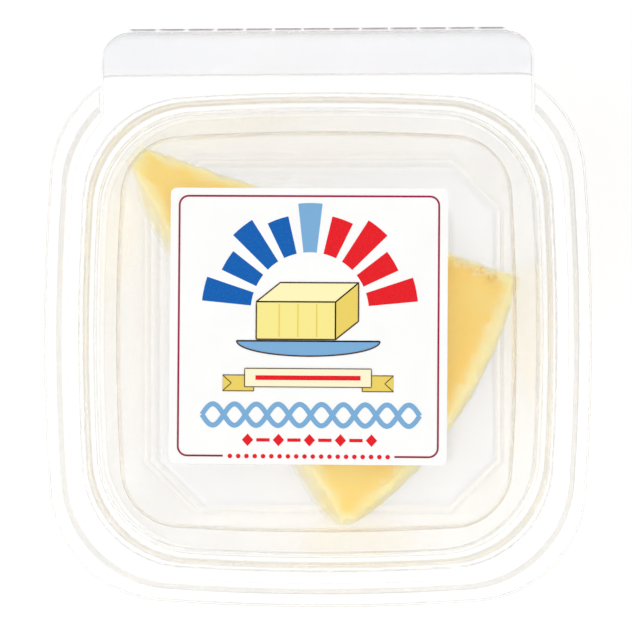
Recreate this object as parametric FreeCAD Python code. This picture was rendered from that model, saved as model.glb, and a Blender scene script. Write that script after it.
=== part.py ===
"""A hinged clear food pack, shut, with a wedge of butter in it and a square paper label on its lid.

Millimetres, +Z up. The origin is the middle of the tray's flat foot, on the table. The hinge is at +Y.
Every outline of the pack is a rounded square with gently bowed sides, named by its half width.
"""
import FreeCAD
import Part
import math
import os

# ---- driving sizes ----
packHalf = 66.0          # half the width over the tray's outer lip
rimHeight = 38.0         # top of the tray's flange above the table
sheet = 0.4              # wall of the formed plastic
fitGap = 0.2             # clearance between lid and tray where they nest
sideRadius = 520.0       # the sides of every outline bow out on this radius
crownCorner = 24.5       # corner radius of the outline at the crown's outer edge
rimCornerRate = 0.28     # how fast the corner radius grows outside the crown
panelCornerRate = 1.7    # how fast it shrinks inside the crown's edge

# tray
lipWidth = 2.8           # flat lip at the outer edge
lipDrop = 1.0            # how far the lip's edge turns down
lipTurn = 0.4            # how far that edge leans out
guardHeight = 2.2        # the raised guard wall round the lid's edge
guardRun = 1.3           # how far the guard wall leans out
guardGap = 1.0           # from the lid's edge to the foot of the guard wall
seatDepth = 4.6          # from the flange down to the ledge that the lid's plug hangs over
seatRun = 0.7            # lean of the seat wall
ledgeWidth = 2.6
ledgeDrop = 0.6          # the ledge slopes a little towards the food
wallRun = 9.2            # lean of the tray's side walls, floor to ledge
floorCut = 12.3          # the floor's corners are cut off straight by this much
footRadius = 3.0         # bend between floor and wall

# lid
lidFlange = 2.6          # flat flange outside the ridge
ridgeTop = 1.2           # flat top of the ridge over the tray's seat edge
ridgeHeight = 1.3        # ridge above the flange
ridgeRun = 0.4           # lean of the ridge's outer flank
plugRun = 0.9            # lean of the plug's outer flank
plugDepth = 3.4          # plug's groove below the top of the flange
grooveWidth = 0.8
crownRise = 5.6          # top of the crown above the flange
crownRun = 1.0           # lean of the wall from groove to crown
crownBevel = 0.9         # soft outer edge of the crown
crownWidth = 4.0         # gently sloping top of the crown
crownSlope = 0.3
panelDrop = 1.5          # the label panel lies this far below the crown
panelRun = 0.9           # lean of the step down to the panel

# hinge tabs
tabHalf = 52.3           # half the width of the opening in the guard wall, and of the tray's tab
tabCorner = 6.7
tabRoot = 44.0           # Y where the tabs' sheets start, inside the flanges they grow from
tabReach = 7.4           # hinge line beyond the tray's lip
tabSide = 0.5            # clearance of the lid's tab in that opening
tabLift = 0.8            # the lid's tab is stepped up by this much
tabStepRun = 0.6
perfPitch = 7.0          # perforation along the hinge line: pitch
perfTie = 0.6            # width of each tie
perfHeight = 0.35

# label
labelWidth = 66.6
labelLength = 66.2
labelCorner = 1.5
labelThick = 0.12
labelShift = (-1.8, 1.3)
labelTurn = -0.4         # degrees

# butter: a wedge cut from a round block
blockRadius = 107.0      # radius of the block
blockCentre = (-55.2, 40.2)
wedgePoint = (-50.6, 48.2)   # where the two cut faces would meet
wedgeAngle = 40.1        # degrees between the cut faces
wedgeTurn = -39.25       # degrees, direction of the wedge's middle from its point
wedgeHeight = 28.0
cutLean = 4.5            # the cut face on the -X side stands out by this much at its foot
rimLean = 2.0            # and so does the curved face
butterGap = 0.3          # kept between butter and the tray's walls


# ---- outlines ----
def cornerRadius(half):
    """Corner radius of the outline of that half width."""
    past = half - crownHalf
    rate = rimCornerRate if past > 0 else panelCornerRate
    return crownCorner + rate * past


def vector(x, y, z):
    return FreeCAD.Vector(x, y, z)


def quarterTurns(points):
    """The four copies of points, each turned by a further quarter turn about Z."""
    turned = []
    for k in range(4):
        c, s = (1, 0, -1, 0)[k], (0, 1, 0, -1)[k]
        turned.append([vector(c * p.x - s * p.y, s * p.x + c * p.y, p.z) for p in points])
    return turned


def roundOutline(half, z):
    """Closed wire of eight tangent arcs: four bowed sides and four round corners."""
    r = cornerRadius(half)
    back = half - sideRadius
    c = (back + math.sqrt(2 * (sideRadius - r) ** 2 - back ** 2)) / 2
    ux, uy = (c - back) / (sideRadius - r), c / (sideRadius - r)
    start = vector(c + r * ux, c + r * uy, z)
    diagonal = c + r / math.sqrt(2)
    edges = []
    for low, mid, high, corner, end in quarterTurns([
            vector(start.x, -start.y, z), vector(half, 0, z), start,
            vector(diagonal, diagonal, z), vector(start.y, start.x, z)]):
        edges.append(Part.Arc(low, mid, high).toShape())
        edges.append(Part.Arc(high, corner, end).toShape())
    return Part.Wire(edges)


def cutOutline(half, z):
    """Closed wire of a square with its corners cut off straight, for the floor."""
    cut = floorCut + (2 - math.sqrt(2)) * (half - floorHalf)
    edges = []
    for low, high, end in quarterTurns([
            vector(half, cut - half, z), vector(half, half - cut, z), vector(half - cut, half, z)]):
        edges.append(Part.LineSegment(low, high).toShape())
        edges.append(Part.LineSegment(high, end).toShape())
    return Part.Wire(edges)


# ---- sheet profiles: lists of (half width, height) ----
def offsetProfile(points, distance):
    """The profile moved to its right-hand side by distance, with mitred bends."""
    moved = []
    for k, (h, z) in enumerate(points):
        before, after = points[max(k - 1, 0)], points[min(k + 1, len(points) - 1)]
        normals = []
        for a, b in ((before, (h, z)), ((h, z), after)):
            run, rise = b[0] - a[0], b[1] - a[1]
            size = math.hypot(run, rise)
            if size > 0:
                normals.append((rise / size, -run / size))
        nh = sum(n[0] for n in normals) / len(normals)
        nz = sum(n[1] for n in normals) / len(normals)
        scale = distance / (nh * nh + nz * nz)
        moved.append((h + nh * scale, z + nz * scale))
    return moved


def sideFaces(lower, upper, flat):
    """The faces that join two outlines: one flat ring, or one ruled face for each pair of edges."""
    if flat:
        inner, outer = sorted((lower, upper), key=lambda wire: wire.BoundBox.XLength)
        return [Part.makeFace([outer, inner], "Part::FaceMakerBullseye")]
    return [Part.makeRuledSurface(a, b) for a, b in zip(lower.Edges, upper.Edges)]


def stackSolid(stack, outlineOf):
    """Solid bounded by the outlines of a stack of (half width, height), and by a flat face at each end."""
    wires = [outlineOf(half, z) for half, z in stack]
    faces = [Part.Face(wires[0]), Part.Face(wires[-1])]
    for k in range(len(stack) - 1):
        faces += sideFaces(wires[k], wires[k + 1], abs(stack[k][1] - stack[k + 1][1]) < 1e-6)
    shell = Part.makeShell(faces)
    shell.sewShape()
    solid = Part.makeSolid(shell)
    return solid if solid.Volume > 0 else solid.reversed()


def sheetSolid(top, outlineOf):
    """Solid of one formed sheet: top is its upper skin, from the edge of the flat middle outwards."""
    under = offsetProfile([(0, top[0][1])] + top, sheet)[1:]
    return stackSolid(top + under[::-1], outlineOf)


# half widths, worked from the outer lip inwards
guardTopHalf = packHalf - lipTurn - lipWidth
guardFootHalf = guardTopHalf - guardRun
lidHalf = guardFootHalf - guardGap
ridgeFootHalf = lidHalf - lidFlange
ridgeOuterHalf = ridgeFootHalf - ridgeRun
ridgeInnerHalf = ridgeOuterHalf - ridgeTop
grooveOuterHalf = ridgeInnerHalf - plugRun
grooveInnerHalf = grooveOuterHalf - grooveWidth
crownHalf = grooveInnerHalf - crownRun
crownOuterHalf = crownHalf - crownBevel
crownInnerHalf = crownOuterHalf - crownWidth
panelHalf = crownInnerHalf - panelRun

# heights of the lid's upper skin
lidFlangeTop = rimHeight + fitGap + sheet
ridgeTopZ = lidFlangeTop + ridgeHeight
grooveZ = lidFlangeTop - plugDepth
crownZ = lidFlangeTop + crownRise
panelZ = crownZ - panelDrop

# the tray's seat wall keeps the fit's clearance from the plug's outer flank
plugSlope = plugRun / (ridgeTopZ - grooveZ)
plugFaceAtFlange = ridgeInnerHalf - plugSlope * (ridgeTopZ - rimHeight) + sheet * math.hypot(1, plugSlope)
seatHalf = plugFaceAtFlange + fitGap
ledgeOuterHalf = seatHalf - seatRun
ledgeInnerHalf = ledgeOuterHalf - ledgeWidth
floorHalf = ledgeInnerHalf - wallRun
ledgeZ = rimHeight - seatDepth
wallTopZ = ledgeZ - ledgeDrop
hingeY = packHalf + tabReach


def bend(before, corner, after, radius, steps):
    """Points of a round bend at corner, between the two straight runs that meet there."""
    def unit(a, b):
        size = math.hypot(b[0] - a[0], b[1] - a[1])
        return (b[0] - a[0]) / size, (b[1] - a[1]) / size
    inward, outward = unit(corner, before), unit(corner, after)
    half = math.acos(inward[0] * outward[0] + inward[1] * outward[1]) / 2
    reach = radius / math.tan(half)
    middle = unit((0, 0), (inward[0] + outward[0], inward[1] + outward[1]))
    centre = [corner[i] + middle[i] * radius / math.sin(half) for i in (0, 1)]
    first = [corner[i] + inward[i] * reach for i in (0, 1)]
    last = [corner[i] + outward[i] * reach for i in (0, 1)]
    a0 = math.atan2(first[1] - centre[1], first[0] - centre[0])
    a1 = math.atan2(last[1] - centre[1], last[0] - centre[0])
    turn = (a1 - a0 + math.pi) % (2 * math.pi) - math.pi
    angles = [a0 + turn * k / steps for k in range(steps + 1)]
    return [(centre[0] + radius * math.cos(a), centre[1] + radius * math.sin(a)) for a in angles]


def wallFoot():
    """The bend from the tray's floor up into its wall, on the inside."""
    return bend((0, sheet), (floorHalf, sheet), (ledgeInnerHalf, wallTopZ), footRadius, 3)


def trayOutline(half, z):
    """Cut corners round the floor, round corners from the ledge outwards."""
    return cutOutline(half, z) if z < sheet + footRadius else roundOutline(half, z)


# ---- the pieces ----
def tabPlate(path, halfWidth, innerHalf):
    """A sheet bent along path in Y and Z, with round outer corners, outside the outline of innerHalf."""
    under = offsetProfile(path, sheet)
    corners = [vector(-halfWidth, y, z) for y, z in path + under[::-1]]
    plate = Part.Face(Part.makePolygon(corners + corners[:1])).extrude(vector(2 * halfWidth, 0, 0))
    low = min(z for y, z in under) - 1
    high = max(z for y, z in path) + 1
    trim = Part.makeBox(2 * halfWidth, path[-1][0] - path[0][0], high - low,
                        vector(-halfWidth, path[0][0], low))
    outer = [e for e in trim.Edges
             if abs(e.BoundBox.YMin - path[-1][0]) < 1e-6 and e.BoundBox.ZLength > 0.5]
    middle = Part.Face(roundOutline(innerHalf, low)).extrude(vector(0, 0, high - low))
    return plate.common(trim.makeFillet(tabCorner, outer)).cut(middle)


def tray():
    top = wallFoot() + [
        (ledgeInnerHalf, wallTopZ), (ledgeOuterHalf, ledgeZ),
        (seatHalf, rimHeight), (guardFootHalf, rimHeight),
        (guardTopHalf, rimHeight + guardHeight), (packHalf - lipTurn, rimHeight + guardHeight),
        (packHalf, rimHeight + guardHeight - lipDrop)]

    body = sheetSolid(top, trayOutline)
    opening = Part.makeBox(2 * tabHalf, hingeY - tabRoot, 2 * guardHeight,
                           vector(-tabHalf, tabRoot, rimHeight))
    tab = tabPlate([(tabRoot, rimHeight), (hingeY, rimHeight)], tabHalf, (seatHalf + guardFootHalf) / 2)
    return body.cut(opening).fuse([tab, tearStrip()]).removeSplitter()


def tearStrip():
    """Upright strip on the end of the tray's tab. Its top edge is perforated: it holds the lid's tab by ties."""
    length = 2 * (tabHalf - tabCorner)
    bottom = rimHeight - sheet / 2
    height = tabLift + fitGap / 2 + sheet / 2
    strip = Part.makeBox(length, sheet, height, vector(-length / 2, hingeY - sheet, bottom))
    cuts = int(length / perfPitch)
    for k in range(cuts):
        x = (k - (cuts - 1) / 2) * perfPitch
        slot = Part.makeBox(perfPitch - perfTie, 2 * sheet, perfHeight,
                            vector(x - (perfPitch - perfTie) / 2, hingeY - 1.5 * sheet,
                                   bottom + height - perfHeight))
        strip = strip.cut(slot)
    return strip


def lid():
    top = [
        (panelHalf, panelZ), (crownInnerHalf, crownZ), (crownOuterHalf, crownZ - crownSlope),
        (crownHalf, crownZ - crownSlope - crownBevel), (grooveInnerHalf, grooveZ),
        (grooveOuterHalf, grooveZ), (ridgeInnerHalf, ridgeTopZ), (ridgeOuterHalf, ridgeTopZ),
        (ridgeFootHalf, lidFlangeTop), (lidHalf, lidFlangeTop)]
    body = sheetSolid(top, roundOutline)
    path = [(tabRoot, lidFlangeTop), (lidHalf + guardGap, lidFlangeTop),
            (lidHalf + guardGap + tabStepRun, lidFlangeTop + tabLift), (hingeY, lidFlangeTop + tabLift)]
    tab = tabPlate(path, tabHalf - tabSide, (ridgeFootHalf + lidHalf) / 2)
    return body.fuse(tab).removeSplitter()


def label():
    sheetBox = Part.makeBox(labelWidth, labelLength, labelThick,
                            vector(-labelWidth / 2, -labelLength / 2, 0))
    upright = [e for e in sheetBox.Edges if e.BoundBox.ZLength > labelThick / 2]
    shape = sheetBox.makeFillet(labelCorner, upright)
    shape.rotate(vector(0, 0, 0), vector(0, 0, 1), labelTurn)
    shape.translate(vector(labelShift[0], labelShift[1], panelZ))
    return shape


def wedgeWire(z, cutOut, rimOut):
    """Outline of the wedge at height z: its -X cut face stands out by cutOut, its curved face by rimOut."""
    low = math.radians(wedgeTurn - wedgeAngle / 2)
    high = math.radians(wedgeTurn + wedgeAngle / 2)
    back = cutOut / math.sin(high - low)
    point = (wedgePoint[0] - back * math.cos(high), wedgePoint[1] - back * math.sin(high))

    def onRim(angle):
        c, s = math.cos(angle), math.sin(angle)
        dx, dy = point[0] - blockCentre[0], point[1] - blockCentre[1]
        along = dx * c + dy * s
        reach = -along + math.sqrt(along ** 2 - dx ** 2 - dy ** 2 + (blockRadius + rimOut) ** 2)
        return vector(point[0] + reach * c, point[1] + reach * s, z)

    tip = vector(point[0], point[1], z)
    foot, middle, head = onRim(low), onRim((low + high) / 2), onRim(high)
    return Part.Wire([Part.LineSegment(tip, foot).toShape(), Part.Arc(foot, middle, head).toShape(),
                      Part.LineSegment(head, tip).toShape()])


def butter():
    """The wedge, with its corners pressed to the shape of the tray's walls."""
    wedge = Part.makeLoft([wedgeWire(sheet, cutLean, rimLean), wedgeWire(sheet + wedgeHeight, 0, 0)],
                          True, True)
    room = [(half - butterGap, z) for half, z in wallFoot() + [(ledgeInnerHalf, wallTopZ)]]
    return wedge.common(stackSolid(room, trayOutline)).removeSplitter()


os.makedirs("parts", exist_ok=True)
for name, make in {"tray": tray, "lid": lid, "label": label, "butter": butter}.items():
    shape = make()
    shape.exportStep(f"parts/{name}.step")
    box = shape.BoundBox
    print(name, "solids", len(shape.Solids), "valid", shape.isValid(), "volume", round(shape.Volume, 1),
          [round(v, 2) for v in (box.XMin, box.XMax, box.YMin, box.YMax, box.ZMin, box.ZMax)])
print("crown", round(crownHalf, 2), "panel", round(panelHalf, 2), "floor", round(floorHalf, 2),
      "ridge", round(ridgeInnerHalf, 2), round(ridgeOuterHalf, 2), "lid", round(lidHalf, 2),
      "ledge", round(ledgeInnerHalf, 2), round(ledgeOuterHalf, 2), "seat", round(seatHalf, 2),
      "groove z", round(grooveZ, 2), "ledge z", round(ledgeZ, 2), "panel z", round(panelZ, 2))
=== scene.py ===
import bpy
import numpy as np
from mathutils import Matrix, Vector


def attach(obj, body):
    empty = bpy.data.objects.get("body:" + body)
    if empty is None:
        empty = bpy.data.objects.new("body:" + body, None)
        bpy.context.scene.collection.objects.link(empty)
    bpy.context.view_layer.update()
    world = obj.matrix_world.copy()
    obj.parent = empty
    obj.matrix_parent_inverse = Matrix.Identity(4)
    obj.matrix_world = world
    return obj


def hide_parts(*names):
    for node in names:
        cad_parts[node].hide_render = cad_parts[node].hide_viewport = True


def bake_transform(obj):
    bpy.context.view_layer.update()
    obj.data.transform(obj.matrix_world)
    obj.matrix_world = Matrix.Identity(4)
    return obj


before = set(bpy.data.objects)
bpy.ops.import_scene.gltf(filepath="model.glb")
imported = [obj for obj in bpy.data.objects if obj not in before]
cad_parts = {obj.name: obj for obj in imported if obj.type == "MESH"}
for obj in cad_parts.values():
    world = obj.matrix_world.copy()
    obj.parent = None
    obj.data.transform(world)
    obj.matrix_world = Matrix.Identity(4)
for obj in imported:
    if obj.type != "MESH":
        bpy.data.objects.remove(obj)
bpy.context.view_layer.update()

# A shut, hinged clear pack with a wedge of butter in it and a square label on its lid.
# All sizes below are millimetres; makePiece turns them to metres.


def hexColour(code):
    # sRGB hex to linear: c / 12.92 when dark, else ((c + 0.055) / 1.055) to the power 2.4
    c = np.array([int(code[i:i + 2], 16) for i in (1, 3, 5)]) / 255
    c = np.where(c <= 0.04045, c / 12.92, ((c + 0.055) / 1.055) ** 2.4)
    return (*c.tolist(), 1.0)


def addNode(tree, kind, sockets=None, **settings):
    # one node, its settings, and its sockets set to a value or linked from another socket
    node = tree.nodes.new(kind)
    for key, value in settings.items():
        setattr(node, key, value)
    for key, value in (sockets or {}).items():
        if isinstance(value, bpy.types.NodeSocket):
            tree.links.new(value, node.inputs[key])
        else:
            node.inputs[key].default_value = value
    return node


def newMaterial(name):
    # a material whose node tree is empty
    material = bpy.data.materials.new(name)
    material.use_nodes = True
    material.node_tree.nodes.clear()
    return material, material.node_tree


def setRamp(node, stops):
    # the colour ramp's stops are (place, hex colour)
    ramp = node.color_ramp
    while len(ramp.elements) < len(stops):
        ramp.elements.new(1.0)
    for element, (place, code) in zip(ramp.elements, stops):
        element.position = place
        element.color = hexColour(code)


def gridQuads(index):
    # each cell of a grid of vertex numbers is a quad; it faces +Z where rows run outwards and columns anticlockwise
    a, b, c, d = index[:-1, :-1], index[:-1, 1:], index[1:, 1:], index[1:, :-1]
    return np.stack([a, d, c, b], -1).reshape(-1, 4)


def setAttribute(piece, name, values):
    # one number for each vertex, which the piece's material reads by that name
    attribute = piece.data.attributes.new(name, "FLOAT", "POINT")
    attribute.data.foreach_set("value", np.asarray(values, np.float32).ravel())


def makePiece(name, points, quads, tris, material, body, replaced=(), wall=0.0, flat=False, blend=None):
    # a mesh from whole arrays; wall is the thickness that Solidify adds on the inner side;
    # blend is read only to tell whether it is given: then the piece is left without a body and its place is baked into
    # its mesh; the second body and the two places in it are not used
    mesh = bpy.data.meshes.new(name)
    points = np.asarray(points, float).reshape(-1, 3)
    mesh.vertices.add(len(points))
    mesh.vertices.foreach_set("co", (points / 1000).astype(np.float32).ravel())
    quads, tris = np.asarray(quads, int).reshape(-1, 4), np.asarray(tris, int).reshape(-1, 3)
    loops = np.concatenate([quads.ravel(), tris.ravel()])
    starts = np.concatenate([np.arange(len(quads)) * 4, len(quads) * 4 + np.arange(len(tris)) * 3])
    mesh.loops.add(len(loops))
    mesh.loops.foreach_set("vertex_index", loops.astype(np.int32))
    mesh.polygons.add(len(starts))
    mesh.polygons.foreach_set("loop_start", starts.astype(np.int32))
    mesh.polygons.foreach_set("use_smooth", np.full(len(starts), not flat))
    mesh.update(calc_edges=True)
    mesh.validate()
    mesh.materials.append(material)
    piece = bpy.data.objects.new(name, mesh)
    bpy.context.scene.collection.objects.link(piece)
    if wall:
        solid = piece.modifiers.new("wall", "SOLIDIFY")
        solid.thickness = wall / 1000
        solid.offset = -1
        solid.use_even_offset = not flat
        solid.use_quality_normals = True
    if blend:
        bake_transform(piece)
    else:
        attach(piece, body)
    if replaced:
        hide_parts(*replaced)
    return piece


form = {
    "sheet": 0.4,                               # thickness of the clear sheet
    "sideRadius": 520.0, "crownHalf": 53.6, "crownCorner": 24.5,
    "outRate": 0.28, "inRate": 1.7,             # how fast corner radii change outside and inside the crown
    "floorHalf": 44.04, "floorCut": 12.3,
    "sideSteps": 24, "cornerSteps": 40,         # columns on each side and corner
    "foldCentre": (72.5, 38.5), "hingeY": 73.4, "hingeZ": (37.8, 39.2),
    "tabStart": 61.0, "tabCorner": 6.7, "tabSlip": 0.1,
    "toneFrom": 61.5, "toneHalf": 53.0,         # where the doubled tab begins to show its tint
}


def arcParts(half):
    # corner radius, corner centre, side arc's half angle: the corner arc touches both side arcs
    past = half - form["crownHalf"]
    r = form["crownCorner"] + np.where(past > 0, form["outRate"], form["inRate"]) * past
    back = half - form["sideRadius"]
    c = (back + np.sqrt(2 * (form["sideRadius"] - r) ** 2 - back ** 2)) / 2
    return r, c, np.arcsin(c / (form["sideRadius"] - r))


def turned(x, y, quarter):
    # x and y after that many quarter turns
    cos, sin = np.array([1, 0, -1, 0])[quarter], np.array([0, 1, 0, -1])[quarter]
    return cos * x - sin * y, sin * x + cos * y


def roundOutline(half, u):
    # u from 0 to 4 runs once round; the first half of each quarter is the bowed side, the second the corner arc
    half, u = np.broadcast_arrays(np.asarray(half, float), np.asarray(u, float))
    r, c, beta = arcParts(half)
    quarter = np.floor(u).astype(int)
    f = u - quarter
    side = beta * (4 * f - 1)
    corner = beta + (np.pi / 2 - 2 * beta) * (2 * f - 1)
    onSide = f < 0.5
    x = np.where(onSide, half - form["sideRadius"] + form["sideRadius"] * np.cos(side), c + r * np.cos(corner))
    y = np.where(onSide, form["sideRadius"] * np.sin(side), c + r * np.sin(corner))
    return turned(x, y, quarter % 4)


def cutOutline(half, u):
    # the floor's outline: a square whose corners are cut off straight; the cut grows with the half width
    half, u = np.broadcast_arrays(np.asarray(half, float), np.asarray(u, float))
    cut = form["floorCut"] + (2 - np.sqrt(2)) * (half - form["floorHalf"])
    quarter = np.floor(u).astype(int)
    f = u - quarter
    t = np.where(f < 0.5, 2 * f, 2 * f - 1)
    x = np.where(f < 0.5, half, half - cut * t)
    y = np.where(f < 0.5, (half - cut) * (2 * t - 1), half - cut + cut * t)
    return turned(x, y, quarter % 4)


def columnsFor(rootT):
    # places round the outline, with one at the tab's side on each of the back corners
    side = np.arange(form["sideSteps"]) / form["sideSteps"] * 0.5
    t = np.arange(form["cornerSteps"]) / form["cornerSteps"]
    corner = 0.5 + 0.5 * np.unique(np.round(np.concatenate([t, [rootT, 1 - rootT]]), 9))
    quarter = np.concatenate([side, corner])
    return (np.arange(4)[:, None] + quarter[None, :]).ravel()


def cornerPlace(half, x):
    # where on the first corner arc the outline of that half width has that x
    r, c, beta = arcParts(half)
    return (np.arccos((x - c) / r) - beta) / (np.pi / 2 - 2 * beta)


def bentProfile(corners, radii, longest=3.0, steps=6, near=0.15):
    # straight runs between the corners, joined by arcs of those radii, with rows close to each bend
    p = np.asarray(corners, float)
    rows = [p[0]]
    for k in range(1, len(p) - 1):
        a, b = p[k - 1] - p[k], p[k + 1] - p[k]
        a, b = a / np.linalg.norm(a), b / np.linalg.norm(b)
        half = np.arccos(np.clip(a @ b, -1, 1)) / 2
        middle = (a + b) / np.linalg.norm(a + b)
        centre = p[k] + middle * radii[k - 1] / np.sin(half)
        reach = radii[k - 1] / np.tan(half)
        first, last = p[k] + a * reach - centre, p[k] + b * reach - centre
        s = np.linspace(0, 1, steps + 1)[:, None]
        angle = np.pi - 2 * half
        arc = centre + (np.sin((1 - s) * angle) * first + np.sin(s * angle) * last) / np.sin(angle)
        rows += list(arc)
    rows.append(p[-1])
    rows = np.array(rows)
    out = [rows[:1]]
    for a, b in zip(rows[:-1], rows[1:]):
        run = np.linalg.norm(b - a)
        t = np.array([1.0])
        if run > 1.0:
            even = np.linspace(0, 1, max(2, int(np.ceil(run / longest)) + 1))[1:-1]
            t = np.concatenate([[near / run], even, [1 - near / run, 1]])
        out.append(a + (b - a) * t[:, None])
    return np.concatenate(out)


def skinWithTab(inner, rim, tab, tabSide, shapeOf):
    # one skin: rings out to the root outline, then the rim outside the tab's sides and the tab between them
    rootT, rimX = cornerPlace(inner[-1, 0], tabSide), tabSide + form["tabSlip"]
    u = columnsFor(rootT)
    ring = shapeOf(inner, u)
    count = len(u)
    # the middle is a fan of triangles and a few smaller copies of the first ring
    centre = ring[:1].mean(1)
    shrink = np.array([0.12, 0.35, 0.6, 0.85])[:, None, None]
    disc = centre[None] + (ring[:1] - centre[None]) * shrink
    points = [centre, disc.reshape(-1, 3), ring.reshape(-1, 3)]
    rows = len(disc) + len(ring)
    index = 1 + np.arange(rows * count).reshape(rows, count)
    closed = np.concatenate([index, index[:, :1]], 1)
    quads = [gridQuads(closed)]
    tris = np.stack([np.zeros(count, int), closed[0, :-1], closed[0, 1:]], -1)
    used = 1 + rows * count
    root = index[-1]
    firstU, lastU = 0.5 + rootT / 2, 2 - rootT / 2
    tabColumns = np.where((u > firstU - 1e-6) & (u < lastU + 1e-6))[0]
    rimColumns = np.concatenate([np.where(u > lastU - 1e-6)[0], np.where(u < firstU + 1e-6)[0]])
    # rim: each row's last columns slide along its corner arc, so that it ends at the tab's side
    uRim = np.broadcast_to(u[rimColumns], (len(rim), len(rimColumns))).copy()
    share = cornerPlace(rim[:, 0], rimX)[:, None] / rootT
    first = (uRim > 0.5) & (uRim < 1)
    last = (uRim > 1.5) & (uRim < 2)
    uRim = np.where(first, 0.5 + (uRim - 0.5) * share, np.where(last, 2 - (2 - uRim) * share, uRim))
    x, y = roundOutline(rim[:, :1], uRim)
    z = np.broadcast_to(rim[:, 1:], x.shape)
    points.append(np.stack([x, y, z], -1).reshape(-1, 3))
    rimIndex = used + np.arange(x.size).reshape(x.shape)
    used += x.size
    quads.append(gridQuads(np.concatenate([root[rimColumns][None], rimIndex])))
    # tab: columns keep their x and run back to the fold, round the tab's corners
    base = ring[-1][tabColumns]
    corner, stepY, farY = form["tabCorner"], form["tabStart"], form["foldCentre"][0]
    reach = np.clip(np.abs(base[:, 0]) - (np.abs(base[0, 0]) - corner), 0, corner)
    edge = farY - corner + np.sqrt(corner ** 2 - reach ** 2)
    lead = np.linspace(0, 1, 5)[1:, None]
    nearY = base[:, 1] + (stepY - base[:, 1]) * lead
    nearZ = np.full_like(nearY, tab[0, 1])
    run = (tab[:, 0] - stepY) / (farY - stepY)
    y = np.concatenate([nearY, stepY + run[:, None] * (edge - stepY)])
    z = np.concatenate([nearZ, np.broadcast_to(tab[:, 1:], (len(run), len(edge)))])
    x = np.broadcast_to(base[:, 0], y.shape)
    points.append(np.stack([x, y, z], -1).reshape(-1, 3))
    tabIndex = used + np.arange(x.size).reshape(x.shape)
    quads.append(gridQuads(np.concatenate([root[tabColumns][None], tabIndex])))
    return np.concatenate(points), np.concatenate(quads), tris


def tabTone(points, amount):
    # 0 up to where the doubled tab begins, rising to that amount over one millimetre
    onTab = np.clip(points[:, 1] - form["toneFrom"], 0, 1)
    return onTab * (np.abs(points[:, 0]) < form["toneHalf"]) * amount


# Clear PET (polyester) sheet, thermoformed: glossy on both sides, so it shows by the light on its bends.
# Lamps pass through it by the Transparent branch, a little dimmer where the sheet stands steep.
pet = {
    "tint": "#FEFEFD", "ior": 1.57, "roughness": 0.02, "rippleMm": 14.0, "ripple": 0.05,
    "straight": 0.5, "straightSteep": 0.9, "seen": "#FDFDFE", "seenSteep": "#FFFEFB", "toned": "#EAEBEE",
    "shade": "#FFFFFF", "steep": "#FCFBFA",
}
# The crease is the same sheet, cut by the perforation and drawn a darker grey along its slots, so it reads as a grey
# line.
creased = {**pet, "straight": 0.85, "seen": "#FEFDFE", "seenSteep": "#FAFAFB", "toned": "#DDDCDD"}


def makePet(name, look):
    # clear dielectric mixed with a share of plain see-through sheet; "tone" is how much the see-through part turns to
    # the toned colour: where the sheet is doubled or cut, and on the tray's floor as painted shade
    material, tree = newMaterial(name)
    where = addNode(tree, "ShaderNodeTexCoord").outputs["Object"]
    waves = addNode(tree, "ShaderNodeTexNoise", {
        "Vector": where, "Scale": 1000 / look["rippleMm"], "Detail": 2.0, "Roughness": 0.4})
    bump = addNode(tree, "ShaderNodeBump", {
        "Height": waves.outputs["Fac"], "Strength": look["ripple"], "Distance": 0.001})
    clear = addNode(tree, "ShaderNodeBsdfPrincipled", {
        "Base Color": hexColour(look["tint"]), "Transmission Weight": 1.0, "IOR": look["ior"],
        "Roughness": look["roughness"], "Normal": bump.outputs["Normal"]})
    facing = addNode(tree, "ShaderNodeLayerWeight", {"Blend": 0.35}).outputs["Facing"]
    tone = addNode(tree, "ShaderNodeAttribute", attribute_name="tone")
    seen = addNode(tree, "ShaderNodeMix", {
        0: facing, 6: hexColour(look["seen"]), 7: hexColour(look["seenSteep"])}, data_type="RGBA")
    toned = addNode(tree, "ShaderNodeMix", {
        0: tone.outputs["Fac"], 6: seen.outputs[2], 7: hexColour(look["toned"])}, data_type="RGBA")
    through = addNode(tree, "ShaderNodeBsdfTransparent", {"Color": toned.outputs[2]})
    share = addNode(tree, "ShaderNodeMapRange", {
        "Value": facing, "To Min": look["straight"], "To Max": look["straightSteep"]})
    sheet = addNode(tree, "ShaderNodeMixShader", {
        0: share.outputs["Result"], 1: clear.outputs[0], 2: through.outputs[0]})
    # shadow and diffuse rays go straight through, tinted by how steep the sheet stands
    shade = addNode(tree, "ShaderNodeMix", {
        0: facing, 6: hexColour(look["shade"]), 7: hexColour(look["steep"])}, data_type="RGBA")
    lampThrough = addNode(tree, "ShaderNodeBsdfTransparent", {"Color": shade.outputs[2]})
    path = addNode(tree, "ShaderNodeLightPath")
    lit = addNode(tree, "ShaderNodeMath", {
        0: path.outputs["Is Shadow Ray"], 1: path.outputs["Is Diffuse Ray"]}, operation="MAXIMUM")
    both = addNode(tree, "ShaderNodeMixShader", {0: lit.outputs[0], 1: sheet.outputs[0], 2: lampThrough.outputs[0]})
    addNode(tree, "ShaderNodeOutputMaterial", {"Surface": both.outputs[0]})
    return material


petSheet = makePet("clearPetSheet", pet)
petCrease = makePet("creasedPetSheet", creased)
print("materials of the pack made")

tray = {
    "inner": [(38.0, 0.4), (44.04, 0.4), (53.243, 32.8), (55.843, 33.4), (56.543, 38.0), (60.9, 38.0)],
    "innerBends": [3.0, 0.6, 0.5, 0.6],
    "rim": [(60.9, 38.0), (61.5, 38.0), (62.8, 40.2), (65.55, 40.2), (66.0, 39.2)],
    "rimBends": [0.5, 0.65, 0.5],
    "roundFrom": 32.8, "cutTo": 3.0,            # heights between which the cut corners turn round
    "tabHalf": 52.3, "tabHeight": 38.0, "tabSteps": 7, "tabTone": 0.35,
    "floorTop": 0.9, "floorFade": 0.4,          # the painted shade on the floor's sheet ends below this height
}


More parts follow.
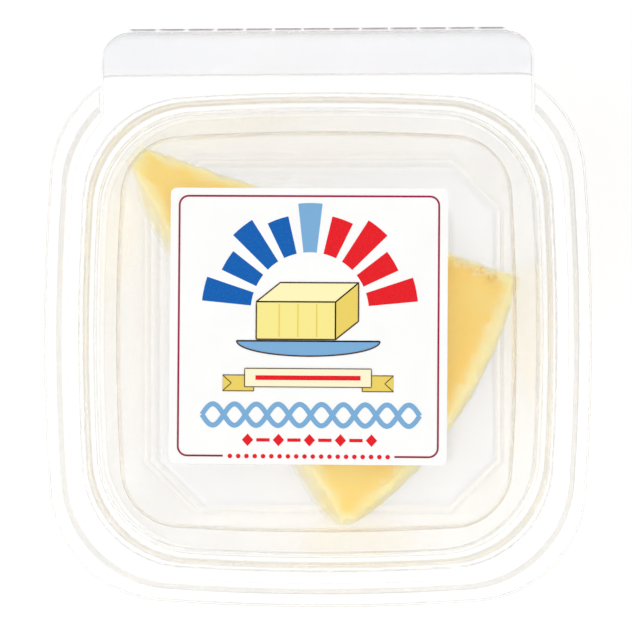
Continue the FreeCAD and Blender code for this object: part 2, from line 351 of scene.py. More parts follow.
def trayShape(profile, u):
    # cut corners at the floor, round ones at the ledge, and a straight blend of the two up the wall
    half, z = profile[:, :1], profile[:, 1:]
    share = np.clip((tray["roundFrom"] - z) / (tray["roundFrom"] - tray["cutTo"]), 0, 1)
    xr, yr = roundOutline(half, u)
    xc, yc = cutOutline(half, u)
    x, y = xr + (xc - xr) * share, yr + (yc - yr) * share
    return np.stack([x, y, np.broadcast_to(z, x.shape)], -1)


trayInner = bentProfile(tray["inner"], tray["innerBends"])
trayRim = bentProfile(tray["rim"], tray["rimBends"])[1:]
tabRun = np.linspace(form["tabStart"], form["foldCentre"][0], tray["tabSteps"])[1:]
trayTab = np.stack([tabRun, np.full_like(tabRun, tray["tabHeight"])], -1)
points, quads, tris = skinWithTab(trayInner, trayRim, trayTab, tray["tabHalf"], trayShape)
trayShell = makePiece("trayShell", points, quads, tris, petSheet, "tray", ["tray"], wall=form["sheet"])
# the floor's sheet gets a grey tint: painted shade that stands in for the shadow on the table under the tray, seen
# through the floor; the doubled tab gets its own tint
paintedFloorShade = np.clip((tray["floorTop"] - points[:, 2]) / tray["floorFade"], 0, 1)
setAttribute(trayShell, "tone", paintedFloorShade + tabTone(points, tray["tabTone"]))
print("tray made:", len(quads), "quads")

lid = {
    "inner": [(40.0, 42.67), (46.95, 42.67), (47.8, 44.17), (52.7, 43.87), (53.6, 42.97), (54.6, 35.2), (55.4, 35.2),
              (56.3, 39.9), (57.5, 39.9), (57.9, 38.6), (60.0, 38.6)],
    "innerBends": [0.45, 0.6, 0.8, 0.6, 0.38, 0.38, 0.55, 0.55, 0.4],
    "rim": [(60.0, 38.6), (60.3, 38.6), (60.5, 38.55)],
    "tab": [(61.0, 38.6), (61.5, 38.6), (62.1, 39.4), (72.5, 39.4)],
    "tabBends": [0.5, 0.5], "tabHalf": 51.8, "tabTone": 0.7,
}


def lidShape(profile, u):
    # each point of the profile is carried round the rounded outline of its half width
    x, y = roundOutline(profile[:, :1], u)
    return np.stack([x, y, np.broadcast_to(profile[:, 1:], x.shape)], -1)


lidInner = bentProfile(lid["inner"], lid["innerBends"])
lidTab = bentProfile(lid["tab"], lid["tabBends"])[1:]
points, quads, tris = skinWithTab(lidInner, np.array(lid["rim"])[1:], lidTab, lid["tabHalf"], lidShape)
lidShell = makePiece("lidShell", points, quads, tris, petSheet, "lid", ["lid"], wall=form["sheet"])
setAttribute(lidShell, "tone", tabTone(points, lid["tabTone"]))
print("lid made:", len(quads), "quads")

fold = {
    "length": 91.2, "radius": 0.9, "pitch": 7.0, "tie": 0.4,    # a slot every pitch, with a tie left between two
    "slot": (-12.0, 40.0),                      # degrees round the fold that the slots take
    "columns": 93, "rows": 19, "toneFade": 0.3, "outerFrom": 0.6, "outerFade": 0.15,
}


def makeFold():
    # x along the fold, and an angle that runs half a turn from the tray's tab round to the lid's
    count = int(fold["length"] / fold["pitch"])
    slotHalf = (fold["pitch"] - fold["tie"]) / 2
    middles = (np.arange(count)[:, None] - (count - 1) / 2) * fold["pitch"]
    marks = middles + np.array([-1, 1])[None] * (fold["pitch"] - fold["tie"]) / 2
    even = np.linspace(-fold["length"] / 2, fold["length"] / 2, fold["columns"])
    x = np.unique(np.round(np.concatenate([even, marks.ravel()]), 4))
    angle = np.unique(np.concatenate([np.linspace(-90, 90, fold["rows"]), fold["slot"]]))
    a, xx = np.meshgrid(np.radians(angle), x, indexing="ij")
    y = form["foldCentre"][0] + fold["radius"] * np.cos(a)
    z = form["foldCentre"][1] + fold["radius"] * np.sin(a)
    quads = gridQuads(np.arange(a.size).reshape(a.shape))

    def fromMiddle(x):
        # how far x is from the middle of its slot
        return np.abs((x + fold["pitch"] * count / 2) % fold["pitch"] - fold["pitch"] / 2)

    midX, midA = (x[:-1] + x[1:]) / 2, (angle[:-1] + angle[1:]) / 2
    inSlot = (fromMiddle(midX) < slotHalf) & (np.abs(midX) < fold["pitch"] * count / 2)
    hole = ((midA > fold["slot"][0]) & (midA < fold["slot"][1]))[:, None] & inSlot[None, :]
    # the tint is on the fold's outer part, along the slots
    along = np.clip((slotHalf - fromMiddle(xx)) / fold["toneFade"], 0, 1)
    outer = np.clip((np.cos(a) - fold["outerFrom"]) / fold["outerFade"], 0, 1)
    return np.stack([xx, y, z], -1).reshape(-1, 3), quads[~hole.ravel()], along * outer


points, quads, cut = makeFold()
foldStrip = makePiece("foldStrip", points, quads, [], petCrease, "tray", wall=form["sheet"],
                      blend=("lid", *[(0, form["hingeY"] / 1000, z / 1000) for z in form["hingeZ"]]))
setAttribute(foldStrip, "tone", cut)
print("fold made:", len(quads), "quads")

butter = {
    "point": (-50.6, 48.2), "angle": 40.1, "turn": -39.25,      # the two cut faces' meeting point and directions
    "blockRadius": 107.0, "blockCentre": (-55.2, 40.2), "middle": (6.0, 1.0),
    "foot": 0.43, "height": 28.4, "cutLean": 4.5, "rimLean": (0.2, 0.9), "leanAt": (0.2, 1.3),
    "tip": (8.0, -45.9), "tipWay": -88.0, "tipLean": 2.6,
    "gap": 0.3, "wallHeights": [0.4, 2.58, 32.8], "wallHalves": [41.8, 44.66, 53.24],
    "columns": 720, "footRows": (0.02, 0.3, 0.6, 0.85, 0.97), "sideRows": 54, "edgeRows": 9,
    "cutEdge": 0.6, "rimEdge": 1.7, "rimFade": 3.0, "sharpness": 180,
    "roughUp": (20.0, 8.0), "notch": (41.0, 14.5, 2.2, -1.9), "settle": 5.0,
    "dents": [(41.2, 13.2, 1.2, -0.9), (36.0, 16.6, 1.5, -0.35)],
    "dragWay": -38.0, "dragRate": 2.1, "topSink": 0.02, "leastFacing": 0.35, "paintedGlowReach": 2.4,
}


def ripple(p, size, seed, waves=10):
    # a smooth random field: plane waves of about that length in random directions, added up to about unit size
    rng = np.random.default_rng(seed)
    way = rng.normal(size=(waves, 3))
    way *= (2 * np.pi / size * rng.uniform(0.6, 1.7, waves) / np.linalg.norm(way, axis=1))[:, None]
    return np.sin(p @ way.T + rng.uniform(0, 2 * np.pi, waves)).sum(-1) / np.sqrt(waves / 2)


def butterReach(theta, z):
    # from the middle, how far the butter goes each way at that height: the nearest of two cut faces,
    # the blunt tip, the round block's rim and the tray's wall, with soft joins between them
    share = 1 - (z - butter["foot"]) / (butter["height"] - butter["foot"])
    m = np.array(butter["middle"])
    ways = np.stack([np.cos(theta), np.sin(theta)], -1)
    reaches = []
    low, high = (np.radians(butter["turn"] + side * butter["angle"] / 2) for side in (-1, 1))
    faces = [
        (low - np.pi / 2, butter["point"], butter["cutLean"] * share),
        (high + np.pi / 2, butter["point"], 0.0),
        (np.radians(butter["tipWay"]), butter["tip"], butter["tipLean"] * share)]
    for normalAngle, place, out in faces:
        normal = np.array([np.cos(normalAngle), np.sin(normalAngle)])
        far = (np.array(place) - m) @ normal + out
        facing = ways @ normal
        reaches.append(np.where(facing > 0.02, far / np.maximum(facing, 0.02), 1e4))
    offset = m - np.array(butter["blockCentre"])
    along = ways @ offset
    rimLean = np.interp(-theta, butter["leanAt"], butter["rimLean"])
    reaches.append(-along + np.sqrt(along ** 2 - offset @ offset + (butter["blockRadius"] + rimLean * share) ** 2))
    half = np.interp(z, butter["wallHeights"], butter["wallHalves"]) - butter["gap"]
    wall = trayShape(np.array([[half, z]]), np.linspace(0, 4, 600, endpoint=False))[0, :, :2] - m
    wallAngle = np.arctan2(wall[:, 1], wall[:, 0])
    order = np.argsort(wallAngle)
    reaches.append(np.interp(theta, wallAngle[order], np.hypot(wall[:, 0], wall[:, 1])[order], period=2 * np.pi))
    stack = np.stack(reaches)
    nearest = stack.min(0)
    return nearest * ((nearest / stack) ** butter["sharpness"]).sum(0) ** (-1 / butter["sharpness"])


def evenAngles(count):
    # directions from the middle, picked by length along the top edge so that their points lie evenly on it
    theta = np.linspace(-np.pi, np.pi, 6001)
    reach = butterReach(theta, butter["height"])
    x, y = reach * np.cos(theta), reach * np.sin(theta)
    run = np.concatenate([[0], np.cumsum(np.hypot(np.diff(x), np.diff(y)))])
    return np.interp(np.linspace(0, run[-1], count, endpoint=False), run, theta)


def hollow(x, y, dent):
    # a round hollow at that place: depth times e to the minus squared distance over its spread
    return dent[3] * np.exp(-((x - dent[0]) ** 2 + (y - dent[1]) ** 2) / dent[2])


def makeButter():
    # rows run from the middle of the foot out, up the side, round the edge and in to the middle of the top
    theta = evenAngles(butter["columns"])
    m = np.array(butter["middle"])
    top = butterReach(theta, butter["height"])
    wrapped = np.concatenate([theta[-3:] - 2 * np.pi, theta, theta[:3] + 2 * np.pi])
    slope = np.gradient(np.concatenate([top[-3:], top, top[:3]]), wrapped)[3:-3]
    square = top / np.hypot(top, slope)         # how squarely the side faces out from the middle
    x, y = m[0] + top * np.cos(theta), m[1] + top * np.sin(theta)
    # the rim's edge is rounder than the cut faces' edges
    fromCentre = np.hypot(x - butter["blockCentre"][0], y - butter["blockCentre"][1])
    onRim = np.clip(1 - (butter["blockRadius"] - fromCentre) / butter["rimFade"], 0, 1)
    edge = butter["cutEdge"] + (butter["rimEdge"] - butter["cutEdge"]) * onRim
    onBack = np.clip((y - x * -0.35 - 26) / 6, 0, 1) * (1 - onRim)
    foot = butterReach(theta, butter["foot"])
    rows = [foot * s for s in butter["footRows"]] + [foot - 0.15]
    heights = [butter["foot"]] * len(butter["footRows"]) + [butter["foot"] + 0.05]
    for z in np.linspace(butter["foot"] + 0.5, butter["height"] - butter["rimEdge"], butter["sideRows"]):
        rows.append(butterReach(theta, z))
        heights.append(z)
    for a in np.radians(np.linspace(0, 90, butter["edgeRows"])):
        rows.append(top - edge * (1 - np.cos(a)) / np.maximum(square, butter["leastFacing"]))
        heights.append(butter["height"] - edge + edge * np.sin(a))
    inner, topRow = rows[-1], len(rows) - 1
    for s in np.concatenate([[0.994, 0.985, 0.97], np.linspace(0.94, 0.04, 30)]):
        rows.append(inner * s)
        heights.append(butter["height"])
    reach, z = np.array(rows), np.array([np.broadcast_to(height, theta.shape) for height in heights])
    x, y = m[0] + reach * np.cos(theta), m[1] + reach * np.sin(theta)
    p = np.stack([x, y, z], -1)
    flat = p * [1, 1, 0]
    # crumbly cut: rough sides, a chipped edge along the back cut, faint drag lines and a slow swell on top
    up = np.clip((z - butter["roughUp"][0]) / butter["roughUp"][1], 0, 1)
    row = np.arange(len(rows))
    onSide, onTop = (row > len(butter["footRows"])) & (row <= topRow), (row > topRow)[:, None]
    rough = 0.16 * ripple(p, 3.2, 3) + 0.07 * ripple(p, 1.3, 4) - 0.25
    chips = -1.1 * np.clip(ripple(p * [1, 1, 0.4], 4.2, 8) - 0.55, 0, 1.6) * up * onBack
    push = (rough + chips + hollow(x, y, butter["notch"]) * up) * onSide[:, None] / np.maximum(square, 0.5)
    # the top follows its own edge inwards, and settles over a few millimetres
    settle = np.clip(1 - (rows[topRow] - reach[topRow + 1:]) / butter["settle"], 0, 1)
    push[topRow + 1:] = push[topRow] * settle
    x, y = x + push * np.cos(theta), y + push * np.sin(theta)
    along = x * np.cos(np.radians(butter["dragWay"])) + y * np.sin(np.radians(butter["dragWay"]))
    drag = 0.035 * np.sin(along * butter["dragRate"] + 0.8 * ripple(flat, 16, 6))
    swell = 0.10 * ripple(flat, 26, 5) + drag + 0.03 * ripple(flat, 1.8, 7)
    dent = sum(hollow(x, y, d) for d in butter["dents"])
    z = z + np.where(onTop, np.minimum(swell, 0.0) - butter["topSink"] + dent, 0)
    # painted glow: the paler edge colour, full on the sides and fading over a few millimetres in from the top's edge;
    # it stands in for light shining through the fat's edges
    fromEdge = np.where(onTop, (inner - reach) * np.maximum(square, butter["leastFacing"]), 0)
    pale = np.clip(1 - (fromEdge + 0.5 * ripple(flat, 5.0, 9)) / butter["paintedGlowReach"], 0, 1)
    index = np.arange(reach.size).reshape(reach.shape)
    closed = np.concatenate([index, index[:, :1]], 1)
    last, count = reach.size, len(theta)
    ends = np.array([[m[0], m[1], butter["foot"]], [m[0], m[1], z[-1].mean()]])
    tris = np.concatenate([
        np.stack([np.full(count, last), closed[0, :-1], closed[0, 1:]], -1),
        np.stack([np.full(count, last + 1), closed[-1, 1:], closed[-1, :-1]], -1)])
    points = np.concatenate([np.stack([x, y, z], -1).reshape(-1, 3), ends])
    return points, gridQuads(closed)[:, ::-1], tris[:, ::-1], np.append(pale.ravel(), [1, 0])


# Butter, churned and wire cut: an opaque fat that light enters a little; its sides and the rim of its top also carry a
# paler colour, painted glow that stands in for light shining through the edges.
butterLook = {
    # edge is the colour of the painted glow on the sides and the top's rim
    "deep": "#FFD462", "pale": "#FFDF84", "edge": "#FFE8AE", "cloudMm": 22.0, "grainMm": 0.9,
    "dull": 0.34, "dullest": 0.54,              # roughness between the grains and on them
}


def makeButterLook(name, soft):
    # churned butter: a slow cloud of two yellows, turned to the painted glow colour where "pale" is high; soft is the
    # share of light that sinks in
    material, tree = newMaterial(name)
    where = addNode(tree, "ShaderNodeTexCoord").outputs["Object"]
    cloud = addNode(tree, "ShaderNodeTexNoise", {
        "Vector": where, "Scale": 1000 / butterLook["cloudMm"], "Detail": 3.0})
    ramp = addNode(tree, "ShaderNodeValToRGB", {"Fac": cloud.outputs["Fac"]})
    setRamp(ramp, [(0.3, butterLook["deep"]), (0.75, butterLook["pale"])])
    side = addNode(tree, "ShaderNodeAttribute", attribute_name="pale")
    colour = addNode(tree, "ShaderNodeMix", {
        0: side.outputs["Fac"], 6: ramp.outputs["Color"], 7: hexColour(butterLook["edge"])}, data_type="RGBA")
    grain = addNode(tree, "ShaderNodeTexNoise", {
        "Vector": where, "Scale": 1000 / butterLook["grainMm"], "Detail": 4.0, "Roughness": 0.6})
    bump = addNode(tree, "ShaderNodeBump", {"Height": grain.outputs["Fac"], "Strength": 0.12, "Distance": 0.0004})
    sheen = addNode(tree, "ShaderNodeMapRange", {
        "Value": grain.outputs["Fac"], "To Min": butterLook["dull"], "To Max": butterLook["dullest"]})
    body = addNode(tree, "ShaderNodeBsdfPrincipled", {
        "Base Color": colour.outputs[2], "Roughness": sheen.outputs["Result"], "Normal": bump.outputs["Normal"],
        "Subsurface Weight": soft, "Subsurface Radius": (1.0, 0.8, 0.5), "Subsurface Scale": 0.005, "IOR": 1.46})
    addNode(tree, "ShaderNodeOutputMaterial", {"Surface": body.outputs[0]})
    return material


churned = makeButterLook("churnedButter", 0.85)
points, quads, tris, pale = makeButter()
wedge = makePiece("butterWedge", points, quads, tris, churned, "tray", ["butter"])
setAttribute(wedge, "pale", pale)

crumbs = {
    "count": 7, "size": (0.3, 0.7), "x": (33.0, 44.5), "off": (-2.5, -1.3), "sunk": 0.25,
    "rings": 10, "turns": 14, "seed": 26, "waver": 0.16, "pale": 0.35,
}


def makeCrumbs():
    # little lumps in a row: spheres whose radius wavers, resting on the top beside the upper cut
    rng = np.random.default_rng(crumbs["seed"])
    cutSlope = np.tan(np.radians(butter["turn"] + butter["angle"] / 2))
    a = np.radians(np.linspace(-90, 90, crumbs["rings"] + 2))[1:-1]
    t = np.linspace(0, 2 * np.pi, crumbs["turns"], endpoint=False)
    aa, tt = np.meshgrid(a, t, indexing="ij")
    ball = np.stack([np.cos(aa) * np.cos(tt), np.cos(aa) * np.sin(tt), np.sin(aa)], -1).reshape(-1, 3)
    ball = np.concatenate([ball, [[0, 0, -1], [0, 0, 1]]])
    index = np.arange(aa.size).reshape(aa.shape)
    closed = np.concatenate([index, index[:, :1]], 1)
    quads = gridQuads(closed)[:, ::-1]
    bottom, top = aa.size, aa.size + 1
    tris = np.concatenate([
        np.stack([np.full(crumbs["turns"], bottom), closed[0, 1:], closed[0, :-1]], -1),
        np.stack([np.full(crumbs["turns"], top), closed[-1, :-1], closed[-1, 1:]], -1)])
    points, allQuads, allTris = [], [], []
    for k in range(crumbs["count"]):
        radius = rng.uniform(*crumbs["size"])
        x = crumbs["x"][0] + (k + rng.uniform(0.1, 0.5)) / crumbs["count"] * np.ptp(crumbs["x"])
        y = butter["point"][1] + (x - butter["point"][0]) * cutSlope + rng.uniform(*crumbs["off"])
        swollen = 1 + crumbs["waver"] * ripple(ball + 7.0 * k, 1.6, 30 + k)
        lump = ball * radius * swollen[:, None] * rng.uniform(0.7, 1.25, 3)
        points.append(lump + [x, y, butter["height"] - crumbs["sunk"] - lump[:, 2].min()])
        allQuads.append(quads + k * len(ball))
        allTris.append(tris + k * len(ball))
    return np.concatenate(points), np.concatenate(allQuads), np.concatenate(allTris)


points, quads, tris = makeCrumbs()
crumbled = makeButterLook("crumbledButter", 0.0)
loose = makePiece("butterCrumbs", points, quads, tris, crumbled, "tray")
# the crumbs take a little of the painted glow colour
setAttribute(loose, "pale", np.full(len(points), crumbs["pale"]))
print("butter made")

label = {"shift": (-1.8, 1.3), "turn": -0.4, "top": 42.82, "clear": 0.01, "layer": 0.03, "ink": 0.024}
paper = {"white": "#FBFBFA", "shade": "#F8F8F7", "fibreMm": 0.35, "cloudMm": 9.0}
inkFinish = {"mottleMm": 0.4, "paper": 0.02, "roughness": 0.38, "gloss": 0.15}


def makePaper():
    # coated label paper: smooth white, a faint cloud in the coating, a soft gloss
    material, tree = newMaterial("coatedLabelPaper")
    where = addNode(tree, "ShaderNodeTexCoord").outputs["Object"]
    cloud = addNode(tree, "ShaderNodeTexNoise", {"Vector": where, "Scale": 1000 / paper["cloudMm"], "Detail": 3.0})
    ramp = addNode(tree, "ShaderNodeValToRGB", {"Fac": cloud.outputs["Fac"]})
    setRamp(ramp, [(0.3, paper["shade"]), (0.7, paper["white"])])
    fibre = addNode(tree, "ShaderNodeTexNoise", {"Vector": where, "Scale": 1000 / paper["fibreMm"], "Detail": 2.0})
    bump = addNode(tree, "ShaderNodeBump", {"Height": fibre.outputs["Fac"], "Strength": 0.05, "Distance": 0.0001})
    body = addNode(tree, "ShaderNodeBsdfPrincipled", {
        "Base Color": ramp.outputs["Color"], "Roughness": 0.45, "Normal": bump.outputs["Normal"], "IOR": 1.5})
    addNode(tree, "ShaderNodeOutputMaterial", {"Surface": body.outputs[0]})
    return material


def makeInk(name, code):
    # flexo ink on coated paper: even colour with a fine mottle of the paper under it
    material, tree = newMaterial(name)
    where = addNode(tree, "ShaderNodeTexCoord").outputs["Object"]
    mottle = addNode(tree, "ShaderNodeTexNoise", {"Vector": where, "Scale": 1000 / inkFinish["mottleMm"], "Detail": 2.0})
    factor = addNode(tree, "ShaderNodeMapRange", {
        "Value": mottle.outputs["Fac"], "From Min": 0.35, "From Max": 0.8, "To Max": inkFinish["paper"]})
    mix = addNode(tree, "ShaderNodeMix", {
        0: factor.outputs["Result"], 6: hexColour(code), 7: hexColour(paper["white"])}, data_type="RGBA")
    body = addNode(tree, "ShaderNodeBsdfPrincipled", {
        "Base Color": mix.outputs[2], "Roughness": inkFinish["roughness"], "IOR": 1.5,
        "Specular IOR Level": inkFinish["gloss"]})
    addNode(tree, "ShaderNodeOutputMaterial", {"Surface": body.outputs[0]})
    return material


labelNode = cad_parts["label"]
labelPaper = makePaper()
if not labelNode.material_slots:
    labelNode.data.materials.append(labelPaper)
for place in labelNode.material_slots:
    place.material = labelPaper

inks = {
    "blue": "#005CAE", "red": "#E31420", "deepRed": "#96173A", "lightBlue": "#79ABD4",
    "paleYellow": "#F6E88E", "creamYellow": "#FBF3B9", "amberYellow": "#E9CF63", "brown": "#4A3524", "cream": "#FAF3CF",
}
inkLooks = {name: makeInk(name + "Ink", code) for name, code in inks.items()}
printed = {}


def onLabel(u, v, layer):
    # label millimetres, u to the right and v towards the hinge, to pack millimetres
    a = np.radians(label["turn"])
    x = label["shift"][0] + u * np.cos(a) - v * np.sin(a)
    y = label["shift"][1] + u * np.sin(a) + v * np.cos(a)
    return np.stack([x, y, np.full_like(x, label["top"] + label["clear"] + label["layer"] * layer)], -1)


def addPrint(ink, edges, layer):
    # collects the shapes of one ink: each is the strip between two lines on the label
    points = onLabel(edges[..., 0], edges[..., 1], layer)
    held = printed.setdefault(ink, {"points": [], "quads": [], "count": 0})
    held["quads"].append(gridQuads(held["count"] + np.arange(edges[..., 0].size).reshape(2, -1))[:, ::-1])
    held["points"].append(points.reshape(-1, 3))
    held["count"] += edges[..., 0].size


def printStroke(ink, path, width, layer):
    # a line of that width carried along a path: each point moves half the width to either side
    path = np.asarray(path, float)
    way = np.gradient(path, axis=0)
    way /= np.linalg.norm(way, axis=1)[:, None]
    side = np.stack([-way[:, 1], way[:, 0]], -1) * width / 2
    addPrint(ink, np.stack([path - side, path + side]), layer)


def printFill(ink, lower, upper, layer, hair=0.01):
    # the area between two lines of equally many points; where they meet they stay a hair apart
    edges = np.stack([np.asarray(lower, float), np.asarray(upper, float)])
    meet = np.linalg.norm(edges[1] - edges[0], axis=1) < 2 * hair
    edges[0, meet, 1] -= hair
    edges[1, meet, 1] += hair
    addPrint(ink, edges, layer)


def cornerLine(corners, steps=12):
    # straight lines through the corners, with equally many points on each
    corners = np.asarray(corners, float)
    t = np.linspace(0, 1, steps, endpoint=False)[:, None]
    runs = [a + (b - a) * t for a, b in zip(corners[:-1], corners[1:])]
    return np.concatenate(runs + [corners[-1:]])


design = {
    "border": 31.15, "borderCorner": 2.2, "borderLine": 0.46, "gap": (-20.3, 20.8),
    "sun": (0.3, 3.5), "sunInner": 14.2, "sunOuter": 26.0, "rays": 9, "rayShare": 0.66,
    "fan": (168, 156), "blues": 4, "rayStep": 2.6,              # degrees where the fan starts and how far it goes
    "outline": 0.34, "fineLine": 0.22, "seam": 0.3,
    "braid": (-25.4, 26.8, -21.3, 2.55, 10.44, 1.2),            # from, to, height, swing, wave length, line
    "beads": (-14.4, 15.3, -27.3, 9), "bead": (1.35, 1.5), "dash": (1.6, 0.8),
    "dots": (-18.6, 19.2, -31.2, 20), "dot": 0.55,
}


def printBorder():
    # a thin frame: four quarter circles joined by straight lines, open along the bottom
    b, r = design["border"], design["borderCorner"]
    quarter = np.radians(np.linspace(0, 90, 9))
    parts = [np.array([[design["gap"][0], -b]])]
    for cx, cy, start in ((-1, -1, 270), (-1, 1, 180), (1, 1, 90), (1, -1, 0)):
        a = np.radians(start) - quarter
        parts.append(np.stack([cx * (b - r) + r * np.cos(a), cy * (b - r) + r * np.sin(a)], -1))
    parts.append(np.array([[design["gap"][1], -b]]))
    printStroke("deepRed", np.concatenate(parts), design["borderLine"], 1)


def printSun():
    # rays in a fan: each is a slice of a ring, blue on one side, red on the other
    cx, cy = design["sun"]
    for k in range(design["rays"]):
        first, sweep = design["fan"]
        middle = np.radians(first - k * sweep / (design["rays"] - 1))
        half = np.radians(sweep / (design["rays"] - 1)) / 2 * design["rayShare"]
        a = np.linspace(middle + half, middle - half, 10)
        inner, outer = (
            np.stack([cx + radius * np.cos(a), cy + radius * np.sin(a)], -1)
            for radius in (design["sunInner"], design["sunOuter"] - design["rayStep"] * (k % 2)))
        blues = design["blues"]
        printFill("blue" if k < blues else "lightBlue" if k == blues else "red", inner, outer, 1)


def printBlock():
    # a block of butter on a dish, drawn from the front and above, with three marks for the slices
    front = [(-12.5, -3.2), (6.5, -3.2), (6.5, 5.8), (-12.5, 5.8)]
    top = [(-12.5, 5.8), (6.5, 5.8), (12.0, 10.4), (-6.8, 10.4)]
    end = [(6.5, -3.2), (12.0, 1.2), (12.0, 10.4), (6.5, 5.8)]
    for ink, quad in (("paleYellow", front), ("creamYellow", top), ("amberYellow", end)):
        q = np.array(quad, float)
        printFill(ink, np.linspace(q[0], q[1], 8), np.linspace(q[3], q[2], 8), 2)
        printStroke("brown", cornerLine(np.concatenate([q, q[:1]])), design["outline"], 3)
    for k in range(3):
        x = -7.0 + 4.5 * k
        printStroke("amberYellow", np.array([(x, -2.6), (x, 1.2), (x, 5.2)]), design["seam"], 3)
    t = np.radians(np.linspace(180, 360, 48))
    dish = np.stack([17.2 * np.cos(t), -3.6 + 3.6 * np.sin(t)], -1)
    rimLine = np.stack([17.2 * np.cos(t), np.full_like(t, -3.6)], -1)
    printFill("lightBlue", dish, rimLine, 1)
    printStroke("brown", np.concatenate([dish, dish[:1]]), design["outline"], 3)
    printStroke("brown", np.array([(-17.2, -3.6), (0.0, -3.6), (17.2, -3.6)]), design["outline"], 3)


def printRibbon():
    # a straight ribbon with forked ends
    for side in (-1, 1):
        tail = np.array([(13.0, -15.6), (20.5, -15.6), (18.4, -13.7), (20.5, -11.8), (13.0, -11.8)]) * [side, 1]
        lower, upper = np.array([tail[0], tail[1], tail[2]]), np.array([tail[4], tail[3], tail[2]])
        if side < 0:
            lower, upper = lower[::-1], upper[::-1]
        printFill("amberYellow", lower, upper, 1)
        printStroke("brown", cornerLine(np.concatenate([tail, tail[:1]])), design["fineLine"], 2)
    body = np.array([(-15.2, -14.6), (15.2, -14.6), (15.2, -10.2), (-15.2, -10.2)])
    printFill("cream", np.linspace(body[0], body[1], 8), np.linspace(body[3], body[2], 8), 3)
    printStroke("brown", cornerLine(np.concatenate([body, body[:1]])), design["fineLine"], 4)
    printStroke("red", np.array([(-12.6, -12.4), (0.0, -12.4), (12.6, -12.4)]), 1.1, 4)


def printBraid():
    # two waves that cross: the height swings by a sine, the second half a wave behind the first
    x0, x1, v, height, length, width = design["braid"]
    u = np.linspace(x0, x1, 241)
    for k, phase in enumerate((0, np.pi)):
        path = np.stack([u, v + height * np.sin((u - x0) / length * 2 * np.pi + phase)], -1)
        printStroke("lightBlue", path, width, 1 + k)


def printRows():
    # a row of diamonds with dashes between them, and under it a row of dots
    x0, x1, v, count = design["beads"]
    wide, high = design["bead"]
    dashHalf, dashLine = design["dash"]
    for k, u in enumerate(np.linspace(x0, x1, count)):
        if k % 2 == 0:
            lower, upper = (np.array([(u - wide, v), (u, v + way * high), (u + wide, v)]) for way in (-1, 1))
            printFill("red", lower, upper, 1)
        else:
            printStroke("red", np.array([(u - dashHalf, v), (u, v), (u + dashHalf, v)]), dashLine, 1)
    x0, x1, v, count = design["dots"]
    t = np.radians(np.linspace(180, 360, 13))
    for u in np.linspace(x0, x1, count):
        lower = np.stack([u + design["dot"] * np.cos(t), v + design["dot"] * np.sin(t)], -1)
        printFill("red", lower, np.stack([lower[:, 0], 2 * v - lower[:, 1]], -1), 1)


for step in (printBorder, printSun, printBlock, printRibbon, printBraid, printRows):
    step()
for ink, held in printed.items():
    makePiece("print." + ink, np.concatenate(held["points"]), np.concatenate(held["quads"]), [], inkLooks[ink],
              "lid", wall=label["ink"], flat=True)
print("label printed:", len(printed), "inks")

# The stage is in metres: a floor, an even room, four lamps (place, side, power) and the camera.
stage = {
    "floor": "#E6E6E6", "floorSeen": "#C6C6C6", "lift": 0.49, "size": 4.0, "drop": -0.00015, "sky": 0.23,
    "topLamp": ((0.08, 0.05, 1.15), 0.8, 5.9), "leftLamp": ((-0.85, -0.5, 0.45), 0.7, 6.5),
    "rightLamp": ((0.85, -0.6, 0.45), 0.7, 5.0), "backLamp": ((0.15, 0.95, 0.5), 0.7, 3.4),
    "lampAim": (0, 0, 0.02), "lens": 189.6, "camera": (0.046, -0.018, 0.838), "aim": (-0.00024, 0.00385, 0.038),
    "bounces": 24, "clearBounces": 64,
}


def seenRays(tree):
    # 1 for the rays that show a surface straight, in a mirror or through clear sheet, else 0
    path = addNode(tree, "ShaderNodeLightPath")
    seen = path.outputs["Is Camera Ray"]
    for kind in ("Is Glossy Ray", "Is Transmission Ray"):
        seen = addNode(tree, "ShaderNodeMath", {0: seen, 1: path.outputs[kind]}, operation="MAXIMUM").outputs[0]
    return seen


def makeFloor():
    # matt white paper sweep: it keeps the shadows, and its lift brings it to white where it is seen
    material, tree = newMaterial("mattPaperSweep")
    seen = seenRays(tree)
    lift = addNode(tree, "ShaderNodeMath", {0: seen, 1: stage["lift"]}, operation="MULTIPLY")
    tone = addNode(tree, "ShaderNodeMix", {
        0: seen, 6: hexColour(stage["floor"]), 7: hexColour(stage["floorSeen"])}, data_type="RGBA")
    matt = addNode(tree, "ShaderNodeBsdfDiffuse", {"Color": tone.outputs[2]})
    glow = addNode(tree, "ShaderNodeEmission", {"Strength": lift.outputs[0]})
    both = addNode(tree, "ShaderNodeAddShader", {0: matt.outputs[0], 1: glow.outputs[0]})
    # from below the floor isn't there
    under = addNode(tree, "ShaderNodeNewGeometry").outputs["Backfacing"]
    gone = addNode(tree, "ShaderNodeBsdfTransparent")
    out = addNode(tree, "ShaderNodeMixShader", {0: under, 1: both.outputs[0], 2: gone.outputs[0]})
    addNode(tree, "ShaderNodeOutputMaterial", {"Surface": out.outputs[0]})
    s, z = stage["size"] / 2, stage["drop"]
    mesh = bpy.data.meshes.new("floor")
    mesh.from_pydata([(-s, -s, z), (s, -s, z), (s, s, z), (-s, s, z)], [], [(0, 1, 2, 3)])
    mesh.materials.append(material)
    floor = bpy.data.objects.new("floor", mesh)
    bpy.context.scene.collection.objects.link(floor)


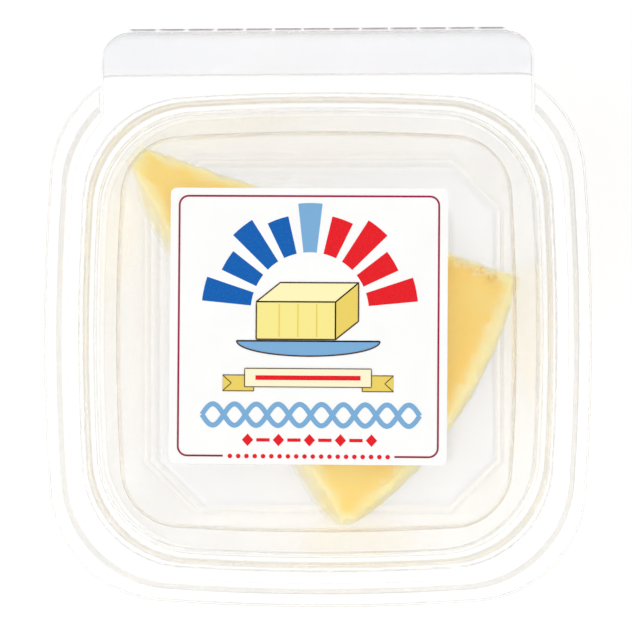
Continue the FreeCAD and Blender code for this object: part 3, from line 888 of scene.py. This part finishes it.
def makeSky():
    # an even white room: full white where it is seen or mirrored, a plain level as light
    world = bpy.data.worlds.new("studio")
    world.use_nodes = True
    tree = world.node_tree
    tree.nodes.clear()
    level = addNode(tree, "ShaderNodeMapRange", {"Value": seenRays(tree), "To Min": stage["sky"], "To Max": 1.0})
    sky = addNode(tree, "ShaderNodeBackground", {"Strength": level.outputs["Result"]})
    addNode(tree, "ShaderNodeOutputWorld", {"Surface": sky.outputs[0]})
    bpy.context.scene.world = world


def addLamp(name, place, size, power):
    # a soft square lamp turned to the pack; it is kept out of mirrors, so that it draws no hard patch on the lid
    data = bpy.data.lights.new(name, "AREA")
    data.shape = "SQUARE"
    data.size = size
    data.energy = power
    lamp = bpy.data.objects.new(name, data)
    bpy.context.scene.collection.objects.link(lamp)
    lamp.location = place
    lamp.rotation_euler = (Vector(stage["lampAim"]) - Vector(place)).to_track_quat("-Z", "Y").to_euler()
    lamp.visible_glossy = False


def makeCamera():
    # a long lens above the pack, a little to the right and the front
    data = bpy.data.cameras.new("camera")
    data.sensor_width = 36.0
    data.lens = stage["lens"]
    data.clip_start, data.clip_end = 0.01, 20.0
    camera = bpy.data.objects.new("camera", data)
    bpy.context.scene.collection.objects.link(camera)
    place, aim = Vector(stage["camera"]), Vector(stage["aim"])
    # the camera looks down its own -Z; +Y of the pack points up the picture
    back = (place - aim).normalized()
    right = Vector((0, 1, 0)).cross(back).normalized()
    camera.matrix_world = Matrix.Translation(place) @ Matrix((right, back.cross(right), back)).transposed().to_4x4()
    bpy.context.scene.camera = camera


makeFloor()
makeSky()
for lamp in ("topLamp", "leftLamp", "rightLamp", "backLamp"):
    addLamp(lamp, *stage[lamp])
makeCamera()
bpy.context.scene.view_settings.view_transform = "Standard"
# light crosses many thin walls before it reaches the butter and the floor under it
bpy.context.scene.cycles.max_bounces = stage["bounces"]
bpy.context.scene.cycles.transmission_bounces = stage["bounces"]
bpy.context.scene.cycles.transparent_max_bounces = stage["clearBounces"]
print("stage made")
